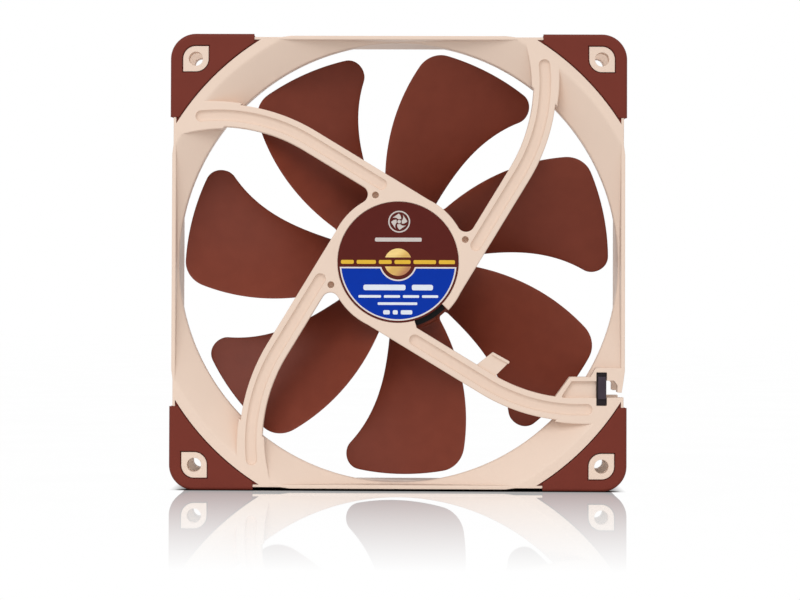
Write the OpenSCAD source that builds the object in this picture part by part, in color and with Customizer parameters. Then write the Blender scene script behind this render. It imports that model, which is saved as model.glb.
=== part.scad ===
/* [Frame] */
// Width and height over the corner pads
overall_side = 140; // [138:0.5:144]
// Thickness over the corner pads
overall_depth = 25; // [24:0.5:27]
// Distance between the centres of two neighbouring screw holes
hole_spacing = 124.5; // [124:0.1:125]
// Diameter of a screw hole
hole_d = 4.3; // [4:0.1:4.6]
// Thickness of the front and rear corner flanges
flange_t = 4.5; // [4.4:0.1:5.5]

/* [Pads] */
// How far the flat of a pad stands above the frame
pad_proud = 0.3; // [0.2:0.1:0.5]
// Depth of the seat a pad lies in
pad_seat = 1; // [0.6:0.1:1.4]
// Thickness of the skirt that wraps the edge of the flange
pad_skirt = 1; // [0.8:0.1:1.2]
// Radius of the arc that ends a pad on the inside
pad_arc_r = 80.3; // [79.5:0.1:81]

/* [Duct] */
// Radius of the narrowest part of the duct
throat_r = 67.6; // [67:0.1:68]
// Radius of the outlet flare at the rear face
flare_r = 77.2; // [76:0.1:78]
// Depth of the outlet flare
flare_depth = 5.4; // [5:0.1:6]
// Radius of the stepped inlet
inlet_r = 69.6; // [69:0.1:69.8]
// Length of the stepped inlet
inlet_length = 6.2; // [5:0.1:7]

/* [Struts] */
// Width of a strut
strut_w = 7; // [6.5:0.1:7.5]
// Thickness of a strut
strut_t = 4; // [3.6:0.1:4.1]
// Angle a strut turns through on its way to the frame
strut_turn = 31.2; // [30:0.1:32]
// Radius of that bend, at the middle of the strut
strut_bend_r = 54.4; // [54:0.1:55]
// Length of a strut before its bend
strut_straight = 42.3; // [42:0.1:43]
// Width of the groove along a strut
groove_w = 3.4; // [3:0.1:3.6]
// Depth of that groove
groove_depth = 1; // [0.4:0.1:1.2]

/* [Hub base] */
// Radius of the ring that carries the motor
hub_r = 21.3; // [21.2:0.1:21.6]
// Radius of the round label
label_r = 18.5; // [18:0.1:18.6]

/* [Impeller] */
// Number of blades
blade_count = 7; // [5:1:9]
// Radius at the blade tips
tip_r = 65.9; // [65:0.1:66.2]
// Radius of the impeller's hub
cup_r = 21; // [20.8:0.1:21.1]
// Thickest part of a blade at its root
root_t = 2.4; // [1.8:0.1:2.8]
// Thickest part of a blade at its tip
tip_t = 1.6; // [1.2:0.1:2]
// Height of a blade's curve, as a part of its chord
camber = 0.07; // [0:0.01:0.1]

/* [Motor] */
// Outer radius of the stator's pole faces
stator_r = 16.1; // [15.8:0.1:16.2]
// Number of stator poles
pole_count = 4; // [4:1:4]
// Radius of the shaft
shaft_r = 1.5; // [1.4:0.1:1.5]
// Radial running clearance of the shaft in its bearing
running_gap = 0.04; // [0.02:0.01:0.08]

/* [Hidden] */

$fn = 96;
over = 1;        // extra length of a cutting shape past the face it cuts
gap = 0.02;      // clearance between pieces that are pressed or glued together

// Colours
cream = [0.91, 0.82, 0.74];
brown = [0.45, 0.2, 0.16];
dark_brown = [0.35, 0.16, 0.13];
charcoal = [0.24, 0.2, 0.25];
steel = [0.62, 0.63, 0.65];
brass = [0.79, 0.65, 0.33];
copper = [0.76, 0.42, 0.2];
ferrite = [0.2, 0.2, 0.21];
board_black = [0.08, 0.1, 0.09];
nylon = [0.9, 0.88, 0.82];
tin = [0.75, 0.76, 0.78];

// Everything below is drawn with the fan lying down: x to the right, y up, and z from the
// intake towards the outlet. stand() sets it upright, with the outlet towards -Y.
half_depth = overall_depth / 2;
face_z = half_depth - pad_proud;            // rear face of the frame, and minus the front face
hole_c = hole_spacing / 2;                  // distance of a screw hole from each centre line
edge = overall_side / 2 - pad_skirt;        // half the width of a flange at its corners
corner_r = edge - hole_c;                   // corner radius of a flange, about its screw hole
side_edge = edge + 0.4;                     // half the width at the middle of a side
side_half = 33;                             // half the length of that wider stretch
tube_r = 71.2;                              // outside of the round duct wall
wall_rear = 68.15;                          // flat inner wall of a side, at the rear face
wall_front = 67.7;                          // the same wall at the front face
lip = 0.8;                                  // rim of a flange outside the pad's seat
skirt_end = 44.3;                           // distance of a skirt's end from the centre line

strut_bottom = face_z - strut_t;
strut_offset = hub_r - 0.1 - strut_w / 2;   // distance of a strut's centre line from the axis
strut_reach = strut_straight + strut_bend_r * strut_turn * PI / 180 + 8.5;
groove_end = strut_reach - 3.1;
pocket_fillet = 2.7;                        // fillet between a strut and the hub ring
root_extra = 1.1;                           // how much wider each side of a strut's root is
root_slant = 4.6;                           // how much longer its inner side is
boss_hole_r = 1.03;
boss_hole_at = 21.7;                        // distance of the small holes from the axis
boss_hole_angle = 108.8;

base_floor = 1.6;                           // thickness of the plate under the label
label_seat = 0.4;
label_t = 0.3;
base_z = face_z - label_seat - base_floor;  // motor side of the base plate
base_ring_z = 8.4;                          // motor side of the base ring
board_r = 19.4;
lead_gap = [286, 316.5];                    // start and end angle of the opening for the leads

tube_bore_r = 4.5;                          // bearing tube of the frame
tube_wall = 0.9;
bearing_top = -6.6;                         // intake end of the bearing tube
shell_wall = 0.9;
sleeve_r = tube_bore_r - gap - shell_wall;

cup_rear = 7.4;                             // open end of the impeller's hub
cup_front = -12;
cup_wall = 1.8;
cup_top_t = 1.6;
yoke_wall = 1;
yoke_r = cup_r - cup_wall - gap;
magnet_r = yoke_r - yoke_wall - gap;
magnet_front = -5;
magnet_rear = 6.2;

stack_front = -3.4;                         // stator core, from its intake end to its outlet end
stack_rear = 4.2;
insulator_t = 0.7;
insulator_rise = 2.2;                       // height of the walls that hold the windings in
pole_neck = 4.2;
board_front = 8.5;
board_t = 1;

// ---- small helpers -----------------------------------------------------------------

module stand() rotate([90, 0, 0]) children();

module slab(bottom, top) translate([0, 0, bottom]) linear_extrude(top - bottom) children();

module ring(outer, inner, bottom, top) slab(bottom, top) difference() {
    circle(outer);
    circle(inner);
}

module quarter_turns() for (turn = [0:90:270]) rotate(turn) children();

module at_poles() for (pole = [0:pole_count - 1]) rotate(45 + pole * 360 / pole_count) children();

// A wedge from the centre, wide enough to cut a ring between two angles
module wedge(from, to, reach) {
    middle = (from + to) / 2;
    polygon([[0, 0],
             reach * [cos(from), sin(from)],
             reach * 1.1 * [cos(middle), sin(middle)],
             reach * [cos(to), sin(to)]]);
}

module rounded_square(half, radius) {
    square([2 * half, 2 * (half - radius)], center = true);
    square([2 * (half - radius), 2 * half], center = true);
    quarter_turns() translate([half - radius, half - radius]) circle(radius);
}

// ---- frame -------------------------------------------------------------------------

module flange_outline() {
    ramp = 3;
    rounded_square(edge, corner_r);
    quarter_turns() polygon([[-side_half - ramp, edge - 5], [-side_half - ramp, edge],
                             [-side_half, side_edge], [side_half, side_edge],
                             [side_half + ramp, edge], [side_half + ramp, edge - 5]]);
}

module frame_walls() {
    slab(face_z - flange_t, face_z) flange_outline();
    slab(-face_z, -face_z + flange_t) flange_outline();
    slab(-face_z, face_z) intersection() {
        circle(tube_r);
        square(2 * side_edge, center = true);
    }
}

// Round duct: flared outlet, throat, slow widening towards the intake, stepped inlet
module duct_bore() {
    step_z = -face_z + inlet_length;
    flare_slope = (flare_r - throat_r) / flare_depth;
    intersection() {
        rotate_extrude() polygon([[0, -face_z - over], [inlet_r + 1, -face_z - over],
                                  [inlet_r + 1, -face_z + 2], [inlet_r, -face_z + 2],
                                  [inlet_r, step_z], [throat_r + 1, step_z],
                                  [throat_r, face_z - flare_depth], [flare_r, face_z],
                                  [flare_r + over * flare_slope, face_z + over],
                                  [0, face_z + over]]);
        drafted_sides();
        rotate(90) drafted_sides();
    }
}

// The pair of flat side walls, which lean out a little towards the rear
module drafted_sides() {
    length = 2 * flare_r + 10;
    rotate([90, 0, 90]) translate([0, 0, -length / 2]) linear_extrude(length)
        polygon([[-wall_front, -face_z - over], [wall_front, -face_z - over],
                 [wall_rear, face_z + over], [-wall_rear, face_z + over]]);
}

// A point beside the middle line of a strut, at a distance along it from the foot of its straight
// part. The line runs along x and then bends to the left; side is positive towards the left.
function strut_point(along, side) =
    let (turn = max(0, along - strut_straight) / strut_bend_r * 180 / PI,
         bend_centre = [strut_straight, strut_bend_r - strut_offset])
    turn == 0 ? [along, side - strut_offset]
              : bend_centre + (strut_bend_r - side) * [sin(turn), -cos(turn)];

// Outline of a band along a strut, with stations bend_step apart round the bend
module strut_band(width, start, end, round_ends = false) {
    bend_step = 2.5;
    end_turn = (end - strut_straight) / strut_bend_r * 180 / PI;
    stations = concat([start], [for (s = [strut_straight:bend_step:end - 1]) s], [end]);
    cap = round_ends ? [for (a = [15:15:165]) width / 2 * [sin(a), cos(a)]] : [];
    polygon(concat(
        [for (c = cap) strut_point(start, 0) + [-c[0], c[1]]],
        [for (s = stations) strut_point(s, -width / 2)],
        [for (c = cap) strut_point(end, 0)
            + [c[0] * cos(end_turn) + c[1] * sin(end_turn), c[0] * sin(end_turn) - c[1] * cos(end_turn)]],
        [for (i = [len(stations) - 1:-1:0]) strut_point(stations[i], width / 2)]));
}

module groove_outline(end) strut_band(groove_w, 16.8, end, round_ends = true);

module at_struts() for (turn = [0:90:270]) rotate(180 - strut_turn + turn) children();

// Round inner corner between the hub ring and the inner edge of a strut. Its circle is a hair
// larger than the fillet, so that it crosses the ring and the strut instead of only touching them.
module strut_fillet() {
    edge_y = -strut_offset + strut_w / 2;
    centre_y = edge_y + pocket_fillet;
    centre_x = sqrt(pow(hub_r + pocket_fillet, 2) - pow(centre_y, 2));
    inside_hub = [centre_x, centre_y] * 0.8;
    difference() {
        polygon([[inside_hub[0], edge_y - 1], [centre_x, edge_y - 1], [centre_x, centre_y],
                 inside_hub]);
        translate([centre_x, centre_y]) circle(pocket_fillet + 0.02);
    }
}

// The wider root where a strut crosses the flare. The strut meets the flat ring at a slant, so the
// root's inner side is the longer one.
module strut_root() {
    half = strut_w / 2 + root_extra;
    difference() {
        translate([strut_straight, strut_bend_r - strut_offset]) rotate(strut_turn)
            translate([0, -strut_bend_r])
                polygon([[-8, -half], [9, -half], [9 + root_slant, half], [-8, half]]);
        circle(throat_r + 0.3);
    }
}

// Lead fittings beside the lower right strut
tab_outline = [[24, -31.5], [29.1, -27.4], [34.3, -30.3], [30.1, -34.5], [30.7, -35.8], [28, -36]];
tray_outline = [[47.8, -41.5], [52.6, -34.9], [60, -34.9], [60, -43], [48, -43]];
tray_floor = [[49.8, -41.3], [53.2, -36.2], [63.9, -36.2], [63.9, -41.3]];
clip_boss = [[58.8, -35], [60.5, -32.1], [68.6, -32.1], [68.6, -43], [58.8, -43]];
clip_seat = [[60.7, -43.7], [63.9, -33.5]];      // opposite corners
tray_depth = 1.6;
tab_t = 2.4;
tab_lip = 0.9;
tab_lip_rise = 0.7;

module lead_tab() {
    slab(face_z - tab_t, face_z - tab_lip_rise) polygon(tab_outline);
    slope = atan2(tab_outline[2][1] - tab_outline[1][1], tab_outline[2][0] - tab_outline[1][0]);
    slab(face_z - tab_t, face_z) intersection() {
        polygon(tab_outline);
        translate(tab_outline[1]) rotate(slope) translate([-2, -tab_lip]) square([10, tab_lip + 1]);
    }
}

module lead_tray() slab(strut_bottom, face_z) {
    polygon(tray_outline);
    polygon(clip_boss);
}

// Opening in the edge of both flanges that lets the leads out sideways
module lead_outlet() {
    slab(-face_z - over, face_z + over) {
        polygon([[63.8, -36], [66.1, -36], [67.1, -37.4], [67.1, -39.6], [71, -39.8],
                 [71, -41.2], [63.8, -41.2]]);
        polygon([[71, -32], [side_edge, -side_half], [68.4, -39.7], [71, -39.7]]);
    }
}

module hub_base() {
    difference() {
        slab(base_ring_z, face_z) {
            circle(hub_r);
            at_struts() strut_fillet();
        }
        slab(base_ring_z - over, base_z) circle(board_r + 0.2);
        slab(base_ring_z - over, face_z + over)
            difference() {
                wedge(lead_gap[0], lead_gap[1], hub_r + 4);
                circle(label_r - 0.2);
            }
    }
    ring(tube_bore_r + tube_wall, tube_bore_r, bearing_top, base_z + gap);
}

module struts() slab(strut_bottom, face_z) {
    at_struts() {
        difference() {
            strut_band(strut_w, 0, strut_reach);
            circle(hub_r - 1);
        }
        strut_root();
    }
}

module pad_seats(side) {
    floor_z = face_z - pad_seat;
    slab(side > 0 ? floor_z : -face_z - over, side > 0 ? face_z + over : -floor_z)
        quarter_turns() difference() {
            pad_seat_outline();
            translate([hole_c, hole_c]) leaf(window_r - boss_gap);
        }
}

module frame() color(cream) stand() difference() {
    union() {
        difference() {
            frame_walls();
            duct_bore();
        }
        struts();
        hub_base();
        lead_tab();
        lead_tray();
    }
    // grooves of the struts; the one beside the lead clip ends early
    slab(face_z - groove_depth, face_z + over) {
        for (turn = [0, 90, 270]) rotate(180 - strut_turn + turn) groove_outline(groove_end);
        rotate(180 - strut_turn + 180) groove_outline(groove_end - 2.8);
    }
    slab(face_z - label_seat, face_z + over) circle(label_r + 0.1);
    for (turn = [0, 90, 270])
        rotate(boss_hole_angle + turn) translate([boss_hole_at, 0]) slab(face_z - 1.4, face_z + over)
            circle(boss_hole_r);
    pad_seats(1);
    pad_seats(-1);
    quarter_turns() translate([hole_c, hole_c]) slab(-face_z - over, face_z + over) circle(hole_d / 2);
    slab(face_z - tray_depth, face_z + over) polygon(tray_floor);
    slab(strut_bottom + 0.4, face_z + over) translate(clip_seat[0]) square(clip_seat[1] - clip_seat[0]);
    lead_outlet();
}

// ---- corner pads -------------------------------------------------------------------

// The part of the top right corner that lies outside the pad arc
module corner_field(start, size) difference() {
    translate([start, start]) square(size);
    circle(pad_arc_r, $fn = 180);
}

// Seat of a pad: it runs out over the edge past the skirt's end, and its tips stay inside the rim
module pad_seat_outline() {
    tip = 41;
    corner_field(skirt_end, overall_side);
    corner_field(tip, edge - lip - tip);
}

// A pad's window fits round a raised boss of the frame, with the screw hole in its middle
window_r = 4.25;
boss_gap = 0.35;

// Outline of that window and boss: round, with two square corners
module leaf(radius) {
    circle(radius);
    translate([-radius, 0]) square(radius);
    translate([0, -radius]) square(radius);
}

// Pad of the top right corner, drawn flat with its outer face at half_depth
module corner_pad() {
    seat_z = face_z - pad_seat;
    difference() {
        slab(seat_z, half_depth) intersection() {
            rounded_square(edge + pad_skirt, corner_r + pad_skirt);
            corner_field(skirt_end, overall_side);
        }
        slab(seat_z - over, half_depth + over) translate([hole_c, hole_c]) leaf(window_r);
    }
    slab(face_z - flange_t, seat_z + gap) intersection() {
        difference() {
            rounded_square(edge + pad_skirt, corner_r + pad_skirt);
            rounded_square(edge, corner_r);
        }
        corner_field(skirt_end, overall_side);
    }
}

module rear_pad(turn) color(brown) stand() rotate(turn) corner_pad();
module front_pad(turn) color(brown) stand() mirror([0, 0, 1]) rotate(turn) corner_pad();

module rear_pad_top_right() rear_pad(0);
module rear_pad_top_left() rear_pad(90);
module rear_pad_bottom_left() rear_pad(180);
module rear_pad_bottom_right() rear_pad(270);
module front_pad_top_right() front_pad(0);
module front_pad_top_left() front_pad(90);
module front_pad_bottom_left() front_pad(180);
module front_pad_bottom_right() front_pad(270);

// ---- label and lead clip -----------------------------------------------------------

module label() color(dark_brown) stand()
    slab(face_z - label_seat, face_z - label_seat + label_t) circle(label_r);

// A staple over the lead channel, with a leg in each end of its seat
module lead_clip() color(charcoal) stand() {
    margin = 0.1;
    low = clip_seat[0] + [margin, margin];
    size = clip_seat[1] - clip_seat[0] - 2 * [margin, margin];
    leg = 1.6;
    bridge_z = face_z - 0.9;
    difference() {
        slab(strut_bottom + 0.5, face_z + 0.1) translate(low) square(size);
        slab(strut_bottom, bridge_z) translate(low + [-over, leg])
            square([size[0] + 2 * over, size[1] - 2 * leg]);
    }
}

// ---- impeller ----------------------------------------------------------------------

blade_front = -9.2;         // leading edges, near the intake
blade_rear = 6.9;           // trailing edges, near the outlet
lead_corner = 4.85;         // rounding of a blade's two corners at the tip
trail_corner = 10.2;
blade_sections = 14;        // from the root to the start of the rounded tip
tip_sections = 6;           // across the rounded tip
chord_steps = 10;
root_r = cup_r - 0.9;

// Angle of the leading and the trailing edge at a radius, seen from the outlet
function lead_angle(r) = 57.75 - 0.0082 * pow(r - 26.6, 2);
function trail_angle(r) = 97.2 - 0.39 * (r - 31) - 0.00185 * pow(r - 31, 2);

// How far each edge moves towards the middle of the blade for each millimetre below the tip,
// taken between these two radii
lean_from = tip_r - 4;
lean_to = tip_r - 2;
lead_lean = (lead_angle(lean_from) - lead_angle(lean_to)) * PI / 360 * (tip_r - 3);
trail_lean = (trail_angle(lean_to) - trail_angle(lean_from)) * PI / 360 * (tip_r - 3);

// Depth below the tip at which a rounded corner starts
function corner_depth(radius, lean) = radius * (1 + cos(atan2(1, lean)));

// Radius of a section: even steps up to the rounded tip, then closer together
function section_r(i) =
    let (rounded = corner_depth(lead_corner, lead_lean), start = tip_r - rounded)
    i <= blade_sections ? root_r + (start - root_r) * i / blade_sections
        : start + rounded * sin(90 * (i - blade_sections) / tip_sections);

// How far a rounded corner eats into the blade at a depth below the tip
function corner_bite(depth, radius, lean) =
    depth >= corner_depth(radius, lean) ? 0
        : radius / tan(atan2(1, lean) / 2) - depth * lean
            - sqrt(max(0, pow(radius, 2) - pow(radius - depth, 2)));

// A point of a blade's skin: part t of the way along the chord, on side +1 or -1
function blade_point(r, t, side) =
    let (arc = PI * r / 180,
         from = lead_angle(r) * arc,
         to = trail_angle(r) * arc,
         chord = norm([to - from, blade_rear - blade_front]),
         along = [to - from, blade_rear - blade_front] / chord,
         across = [along[1], -along[0]],
         lead_bite = corner_bite(tip_r - r, lead_corner, lead_lean) / (along[0] * chord),
         trail_bite = corner_bite(tip_r - r, trail_corner, trail_lean) / (along[0] * chord),
         left = 1 - lead_bite - trail_bite,
         u = lead_bite + t * left,
         thick = (root_t + (tip_t - root_t) * (r - root_r) / (tip_r - root_r)) / 2,
         half = thick * sqrt(max(0, sin(180 * t))) * (1 - 0.25 * t) * left,
         lift = 4 * camber * chord * u * (1 - u) + side * max(half, 0.02),
         s = from + u * chord * along[0] + lift * across[0],
         z = blade_front + u * chord * along[1] + lift * across[1])
    [r * cos(s / arc), r * sin(s / arc), z];

function blade_loop(r) = concat(
    [for (i = [0:chord_steps]) blade_point(r, i / chord_steps, 1)],
    [for (i = [chord_steps:-1:0]) blade_point(r, i / chord_steps, -1)]);

module blade() {
    last = blade_sections + tip_sections;
    count = 2 * (chord_steps + 1);
    points = [for (i = [0:last]) each blade_loop(section_r(i))];
    sides = [for (i = [0:last - 1], j = [0:count - 1])
        let (k = (j + 1) % count)
        each [[i * count + j, (i + 1) * count + j, (i + 1) * count + k],
              [i * count + j, (i + 1) * count + k, i * count + k]]];
    // both ends are closed straight across from one side of the skin to the other
    root_cap = [for (j = [0:chord_steps - 1])
        each [[j, j + 1, count - 2 - j], [j, count - 2 - j, count - 1 - j]]];
    tip_cap = [for (face = root_cap) [for (k = [2:-1:0]) face[k] + last * count]];
    polyhedron(points, concat(sides, root_cap, tip_cap), convexity = 4);
}

module impeller_hub() {
    inner = cup_r - cup_wall;
    front_round = 2;
    rotate_extrude() polygon([
        [inner, cup_rear], [inner, cup_front + cup_top_t], [4.4, cup_front + cup_top_t],
        [4.4, bearing_top - 1.2], [3.2, bearing_top - 1.2], [3.2, cup_front + 0.8], [0, cup_front + 0.8],
        [0, cup_front],
        for (i = [0:6]) [cup_r - front_round + front_round * sin(15 * i),
                         cup_front + front_round - front_round * cos(15 * i)],
        [cup_r, cup_rear]]);
}

module impeller() color(brown) stand() {
    impeller_hub();
    for (i = [0:blade_count - 1]) rotate(i * 360 / blade_count) blade();
}

// ---- rotor -------------------------------------------------------------------------

module rotor_yoke() color(steel) stand() {
    top = cup_front + cup_top_t + gap;
    ring(yoke_r, yoke_r - yoke_wall, top, cup_rear - 0.6);
    ring(yoke_r, 4.5, top, top + yoke_wall);
}

module ring_magnet() color(ferrite) stand()
    ring(magnet_r, stator_r + 0.5, magnet_front, magnet_rear);

shaft_end = 7.5;
clip_z = 6.5;

module shaft() color(steel) stand() difference() {
    slab(cup_front + 0.9, shaft_end) circle(shaft_r);
    ring(shaft_r + over, shaft_r - 0.35, clip_z - 0.05, clip_z + 0.35);
}

module shaft_bushing() color(brass) stand()
    ring(3.2 - gap, shaft_r + gap, cup_front + 0.9, bearing_top - 1.2);

module retaining_ring() color(nylon) stand()
    ring(2.5, shaft_r - 0.33, clip_z, clip_z + 0.3);

// ---- bearing -----------------------------------------------------------------------

shell_floor = 1;

module bearing_shell() color(brass) stand() {
    ring(tube_bore_r - gap, sleeve_r, bearing_top, base_z - gap);
    slab(base_z - shell_floor, base_z - gap) circle(tube_bore_r - gap - 0.3);
}

module bearing_sleeve() color([0.6, 0.45, 0.25]) stand()
    ring(sleeve_r - gap, shaft_r + running_gap, bearing_top + 1.2, 5.9);

module oil_seal() color(nylon) stand()
    ring(sleeve_r - gap, shaft_r + 0.2, bearing_top, bearing_top + 1);

module thrust_pad() color(ferrite) stand()
    slab(shaft_end + 0.05, shaft_end + 0.55) circle(sleeve_r - gap);

module stabiliser_magnet() color(steel) stand()
    slab(shaft_end + 0.6, base_z - shell_floor - gap) circle(sleeve_r - gap);

// ---- stator ------------------------------------------------------------------------

tooth_inner = 8;            // the core's ring, where the pole necks start
shoe_inner = 13.6;          // where a neck widens into its pole shoe
shoe_half_angle = 38;
core_bore = tube_bore_r + tube_wall + gap;

// Outline of the core: a ring, necks, and curved pole shoes
module core_outline() {
    difference() {
        union() {
            circle(tooth_inner);
            at_poles() translate([0, -pole_neck / 2]) square([stator_r - 1, pole_neck]);
            at_poles() intersection() {
                difference() {
                    circle(stator_r);
                    circle(shoe_inner);
                }
                wedge(-shoe_half_angle, shoe_half_angle, stator_r * 1.6);
            }
        }
        circle(core_bore);
    }
}

module stator_core() color(steel) stand() slab(stack_front, stack_rear) core_outline();

// One insulating end cap, drawn with its flat against the core at z = 0
module insulator() {
    slab(0, insulator_t) core_outline();
    slab(insulator_t - gap, insulator_t + insulator_rise) {
        difference() {
            circle(tooth_inner - 0.4);
            circle(core_bore);
        }
        at_poles() intersection() {
            difference() {
                circle(stator_r - 0.3);
                circle(stator_r - 1.3);
            }
            wedge(-shoe_half_angle + 8, shoe_half_angle - 8, stator_r * 1.6);
        }
    }
}

module rear_insulator() color(nylon) stand() difference() {
    translate([0, 0, stack_rear + gap]) insulator();
    pin_holes();
}

module front_insulator() color(nylon) stand() translate([0, 0, stack_front - gap]) mirror([0, 0, 1])
    insulator();

// Wire wound round each pole neck, between the core's ring and the pole shoes
module windings() color(copper) stand() at_poles() {
    thick = 1.3;
    inner_x = tooth_inner + 0.3;
    outer_x = sqrt(pow(shoe_inner, 2) - pow(pole_neck / 2 + thick, 2)) - 0.1;
    low = stack_front - insulator_t - 2 * gap;
    high = stack_rear + insulator_t + 2 * gap;
    neck = pole_neck + 0.1;
    translate([inner_x, 0, 0]) rotate([90, 0, 90]) linear_extrude(outer_x - inner_x) difference() {
        winding_section(neck / 2 + thick, low - thick, high + thick, 1);
        winding_section(neck / 2, low, high, 0.01);
    }
}

module winding_section(half, low, high, radius) {
    translate([-half + radius, low]) square([2 * (half - radius), high - low]);
    translate([-half, low + radius]) square([2 * half, high - low - 2 * radius]);
    if (radius > 0.1)
        for (x = [-half + radius, half - radius], y = [low + radius, high - radius])
            translate([x, y]) circle(radius);
}

pin_at = tooth_inner - 1.4;
pin_r = 0.35;

module pin_places() for (pin = [0:3]) rotate(90 * pin) translate([pin_at, 0]) children();

module pin_holes() pin_places() slab(stack_rear + insulator_t, board_front) circle(pin_r + gap);

module winding_pins() color(tin) stand() pin_places()
    slab(stack_rear + insulator_t + gap, board_front + board_t + 0.5) circle(pin_r);

// ---- circuit board -----------------------------------------------------------------

module circuit_board() color(board_black) stand() slab(board_front, board_front + board_t)
    difference() {
        circle(board_r);
        circle(core_bore + 0.2);
        pin_places() circle(pin_r + 0.1);
    }

module driver_chip() color(ferrite) stand() rotate(120) translate([12, 0]) {
    slab(board_front - 1.5, board_front - gap) square([4, 5], center = true);
    for (side = [-1, 1], lead = [-1.8, -0.6, 0.6, 1.8])
        slab(board_front - 0.4, board_front - gap) translate([side * 2.4, lead])
            square([0.9, 0.4], center = true);
}

// The sensor that reads the ring magnet's poles, between two pole shoes
module hall_sensor() color(ferrite) stand() rotate(90) translate([16.6, 0])
    slab(board_front - 1.2, board_front - gap) square([1.6, 3], center = true);

module board_parts() color([0.7, 0.6, 0.45]) stand() {
    for (angle = [20, 50, 165, 200, 235]) rotate(angle) translate([13.5, 0])
        slab(board_front - 0.7, board_front - gap) square([1, 2], center = true);
    for (angle = [180, 218]) rotate(angle) translate([10.2, 0])
        slab(board_front - 0.9, board_front - gap) square([1.4, 2.4], center = true);
}

// Where the four leads meet the board, by the opening in the base ring
module solder_joints() color(tin) stand() for (lead = [-1.5:1:1.5])
    rotate((lead_gap[0] + lead_gap[1]) / 2 + lead * 8.5) translate([17.2, 0]) {
        slab(board_front + board_t + gap, board_front + board_t + 0.35) circle(0.85);
    }

frame();
rear_pad_top_left();
rear_pad_top_right();
rear_pad_bottom_right();
rear_pad_bottom_left();
front_pad_top_left();
front_pad_top_right();
front_pad_bottom_right();
front_pad_bottom_left();
label();
lead_clip();
impeller();
rotor_yoke();
ring_magnet();
shaft();
shaft_bushing();
retaining_ring();
bearing_shell();
bearing_sleeve();
oil_seal();
thrust_pad();
stabiliser_magnet();
stator_core();
front_insulator();
rear_insulator();
windings();
winding_pins();
circuit_board();
driver_chip();
hall_sensor();
board_parts();
solder_joints();
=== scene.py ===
"""Looks of a square case fan: moulded frame, impeller, corner pads, label and lead clip built
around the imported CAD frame, with procedural materials, a pale studio and one camera."""

from math import (acos, asin, atan2, ceil, cos, degrees, hypot, pi, radians, sin, sqrt, tan)

import bmesh
import bpy
from mathutils import Matrix, Quaternion, Vector


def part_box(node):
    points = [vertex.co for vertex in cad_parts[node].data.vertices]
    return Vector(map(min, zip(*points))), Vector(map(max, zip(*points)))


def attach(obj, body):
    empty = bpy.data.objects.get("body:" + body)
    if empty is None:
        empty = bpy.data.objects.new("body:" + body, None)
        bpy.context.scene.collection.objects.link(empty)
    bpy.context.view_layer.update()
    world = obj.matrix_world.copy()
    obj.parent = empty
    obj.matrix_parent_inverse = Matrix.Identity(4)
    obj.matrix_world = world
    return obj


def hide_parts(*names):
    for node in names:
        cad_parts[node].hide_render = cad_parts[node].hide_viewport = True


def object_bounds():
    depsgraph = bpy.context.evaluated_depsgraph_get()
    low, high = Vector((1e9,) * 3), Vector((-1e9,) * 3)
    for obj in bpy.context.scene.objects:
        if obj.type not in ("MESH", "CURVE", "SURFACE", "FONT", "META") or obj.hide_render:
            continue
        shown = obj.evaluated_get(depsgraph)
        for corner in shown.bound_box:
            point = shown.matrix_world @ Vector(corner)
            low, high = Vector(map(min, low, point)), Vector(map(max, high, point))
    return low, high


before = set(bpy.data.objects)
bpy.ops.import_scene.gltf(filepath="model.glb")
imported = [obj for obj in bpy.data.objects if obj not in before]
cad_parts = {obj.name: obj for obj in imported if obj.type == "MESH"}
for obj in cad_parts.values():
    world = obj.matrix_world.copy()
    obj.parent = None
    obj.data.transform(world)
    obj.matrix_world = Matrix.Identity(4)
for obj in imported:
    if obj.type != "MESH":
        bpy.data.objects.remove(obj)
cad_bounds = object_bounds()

# ---- sizes ----
# Lengths are in millimetres in the "face frame": x to the right, y up, and z from the
# intake towards the outlet side. to_row() turns them into the row's frame, in metres. Angles
# are in degrees, and grow anticlockwise seen from the outlet side.

MM = 0.001


def node_limits(node):
    """Lowest and highest corner of a CAD node in the face frame."""
    low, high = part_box(node)
    return Vector((low.x, low.z, -high.y)) / MM, Vector((high.x, high.z, -low.y)) / MM


PAD_LOW, PAD_HIGH = node_limits("rear_pad_top_right")
_, FRAME_HIGH = node_limits("frame")
LABEL_LOW, LABEL_HIGH = node_limits("label")
ROTOR_LOW, ROTOR_HIGH = node_limits("impeller")
CLIP_LOW, CLIP_HIGH = node_limits("lead_clip")

HALF_SIDE = PAD_HIGH.x  # half the width over the pads
PAD_FACE = PAD_HIGH.z  # outer face of the rear pads
FACE = FRAME_HIGH.z  # rear face of the frame
SIDE_EDGE = FRAME_HIGH.x  # half width of the frame at the middle of a side
CORNER_INSET = 0.4
EDGE = SIDE_EDGE - CORNER_INSET  # half width of a flange at its corners
FLANGE_BACK = PAD_LOW.z  # inner face of the rear flange
SKIRT_END = PAD_LOW.x  # where a pad's skirt ends
HOLE_C = 62.25  # screw hole to centre line
HOLE_R = 2.15
SIDE_HALF = 33.0  # half length of the wider stretch of a side
SIDE_RAMP = 3.0
TUBE_R = 71.2  # outside of the duct wall
TUBE_STEP = 0.2  # how far it stands back from the flanges
WALL_REAR = 68.15  # flat inner walls, at the rear and the front face
WALL_FRONT = 67.7
PAD_ARC_R = 80.3  # inner edge of a pad's seat
PAD_SEAT = 1.0  # depth of the seat
PAD_GAP = 0.3  # open joint between a pad and the frame
PAD_FOOT_GAP = 0.05  # the same at the floor of the pad's seat
PAD_FOOT_T = 0.35  # thickness of a pad's foot, which fills that floor
BOSS_R = 3.9  # leaf-shaped screw boss in a pad's window
SEAT_TIP_Y = 68.2  # outer edge of a pad seat's pointed tips

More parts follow.
